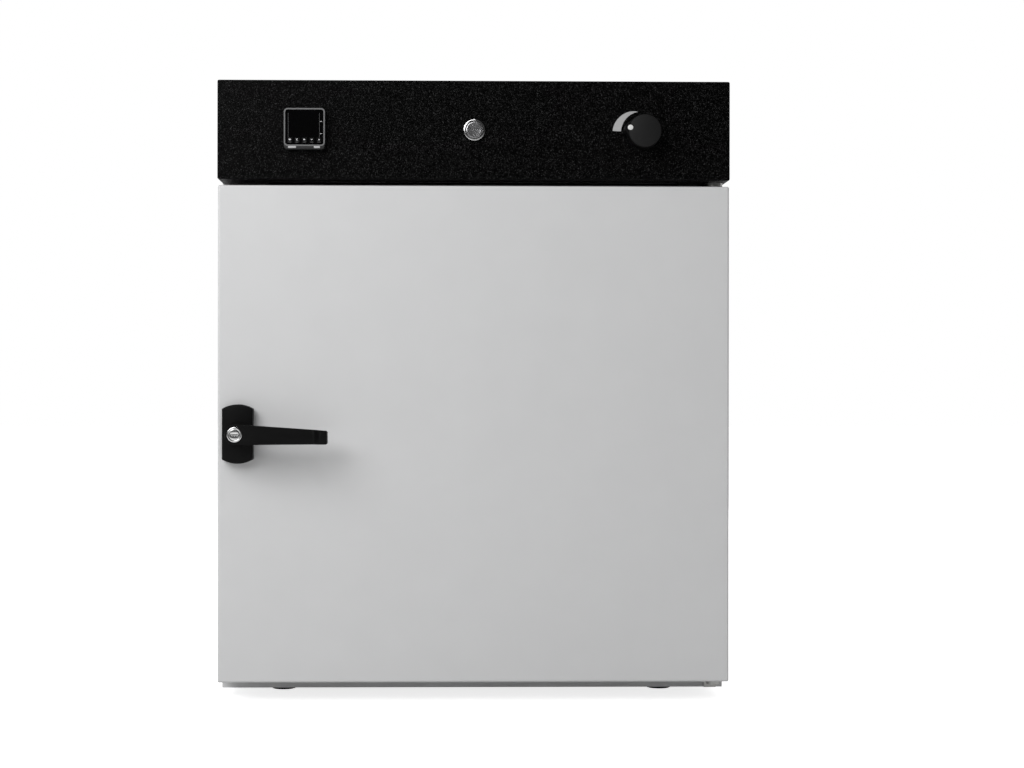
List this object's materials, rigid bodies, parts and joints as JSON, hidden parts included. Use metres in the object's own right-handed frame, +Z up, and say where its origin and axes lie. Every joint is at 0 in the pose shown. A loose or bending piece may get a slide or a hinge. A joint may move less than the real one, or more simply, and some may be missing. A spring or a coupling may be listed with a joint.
{
  "type": "laboratory incubator",
  "caption": "Bench-top laboratory incubator: insulated cabinet with a hinged lever-latch door, control fascia, fan-stirred stainless chamber, wire shelves and damped exhaust.",
  "frame": {"origin": "middle of the whole part's footprint, at the height of the feet's undersides", "axes": "+X to the right seen from the front, +Y to the back, +Z up"},
  "size_m": [0.6, 0.6318, 0.752],
  "materials": {
    "light_coat": "satin powder coat",
    "door_coat": "satin powder coat",
    "black_coat": "fine structured powder coat",
    "stainless": "brushed stainless",
    "brushed_steel": "spun face",
    "zinc_sheet": "zinc plated",
    "zinc_steel": "zinc plated",
    "chrome": "bright",
    "aluminium": "natural",
    "brass": "turned",
    "motor_paint": "satin",
    "mineral_wool": "loose fibre",
    "black_rubber": "matte",
    "silicone": "matte silicone",
    "key_rubber": "matte",
    "black_plastic": "satin",
    "black_gloss": "gloss",
    "white_plastic": "satin"
  },
  "bodies": {
    "case": {"outer_casing": "light_coat", "bottom_pan": "zinc_sheet", "feet": "black_rubber", "rear_panel": "light_coat", "rear_screws": "zinc_steel", "front_frame": "light_coat", "electronics_deck": "zinc_sheet", "inner_back_plate": "zinc_sheet", "chamber_liner": "stainless", "wall_insulation": "mineral_wool", "rear_insulation": "mineral_wool", "upper_hinge": "zinc_steel", "lower_hinge": "zinc_steel", "hinge_screws": "zinc_steel", "strike_plate": "zinc_steel", "fascia": "black_coat", "controller_bezel": "black_plastic", "controller_window": "black_gloss", "controller_housing": "black_plastic", "controller_clamp": "black_plastic", "switch_body": "brushed_steel", "switch_nut": "zinc_steel", "spindle_bush": "brass", "exhaust_pipe": "stainless", "exhaust_spigot": "stainless", "fan_motor": "motor_paint", "air_baffle": "stainless", "heater_ring": "stainless", "temperature_probe": "stainless", "solid_state_relay": "aluminium", "mains_inlet": "black_plastic", "rack_left": "stainless", "rack_right": "stainless", "shelf_lower": "stainless", "shelf_upper": "stainless"},
    "door": {"door_skin": "door_coat", "door_inner_panel": "stainless", "door_insulation": "mineral_wool", "door_seal": "silicone", "hinge_bushes": "white_plastic", "escutcheon": "black_plastic", "escutcheon_screws": "zinc_steel"},
    "lever": {"lever": "black_coat", "lock_barrel": "chrome", "latch_shaft": "zinc_steel", "latch_cam": "zinc_steel"},
    "lock_plug": {"lock_plug": "chrome"},
    "damper": {"knob_body": "black_plastic", "knob_cap": "black_plastic", "knob_dot": "white_plastic", "damper_rod": "stainless", "damper_flap": "stainless"},
    "switch_cap": {"switch_cap": "brushed_steel"},
    "fan": {"fan_shaft": "zinc_steel", "fan_impeller": "aluminium"},
    "key_1": {"key_1": "key_rubber"},
    "key_2": {"key_2": "key_rubber"},
    "key_3": {"key_3": "key_rubber"},
    "key_4": {"key_4": "key_rubber"},
    "key_5": {"key_5": "key_rubber"}
  },
  "joints": [
    {"name": "door_swing", "type": "hinge", "parent": "case", "child": "door", "pos_m": [0.285, -0.2359, 0.3165], "axis": [0, 0, 1], "range_deg": [0, 110]},
    {"name": "lever_turn", "type": "hinge", "parent": "door", "child": "lever", "pos_m": [-0.275, -0.2639, 0.3165], "axis": [0, 1, 0], "range_deg": [0, 90]},
    {"name": "lock_turn", "type": "hinge", "parent": "lever", "child": "lock_plug", "pos_m": [-0.275, -0.3039, 0.3165], "axis": [0, 1, 0], "range_deg": [0, 90]},
    {"name": "damper_turn", "type": "hinge", "parent": "case", "child": "damper", "pos_m": [0.198, -0.2639, 0.6695], "axis": [0, 1, 0], "range_deg": [-12, 78]},
    {"name": "switch_press", "type": "slide", "parent": "case", "child": "switch_cap", "axis": [0, 1, 0], "range_m": [0, 0.0025], "stiffness_N_per_m": 800},
    {"name": "fan_spin", "type": "hinge", "parent": "case", "child": "fan", "pos_m": [0, 0.1661, 0.31], "axis": [0, 1, 0], "continuous": true},
    {"name": "key_1_press", "type": "slide", "parent": "case", "child": "key_1", "axis": [0, 1, 0], "range_m": [0, 0.0005], "stiffness_N_per_m": 400},
    {"name": "key_2_press", "type": "slide", "parent": "case", "child": "key_2", "axis": [0, 1, 0], "range_m": [0, 0.0005], "stiffness_N_per_m": 400},
    {"name": "key_3_press", "type": "slide", "parent": "case", "child": "key_3", "axis": [0, 1, 0], "range_m": [0, 0.0005], "stiffness_N_per_m": 400},
    {"name": "key_4_press", "type": "slide", "parent": "case", "child": "key_4", "axis": [0, 1, 0], "range_m": [0, 0.0005], "stiffness_N_per_m": 400},
    {"name": "key_5_press", "type": "slide", "parent": "case", "child": "key_5", "axis": [0, 1, 0], "range_m": [0, 0.0005], "stiffness_N_per_m": 400}
  ]
}
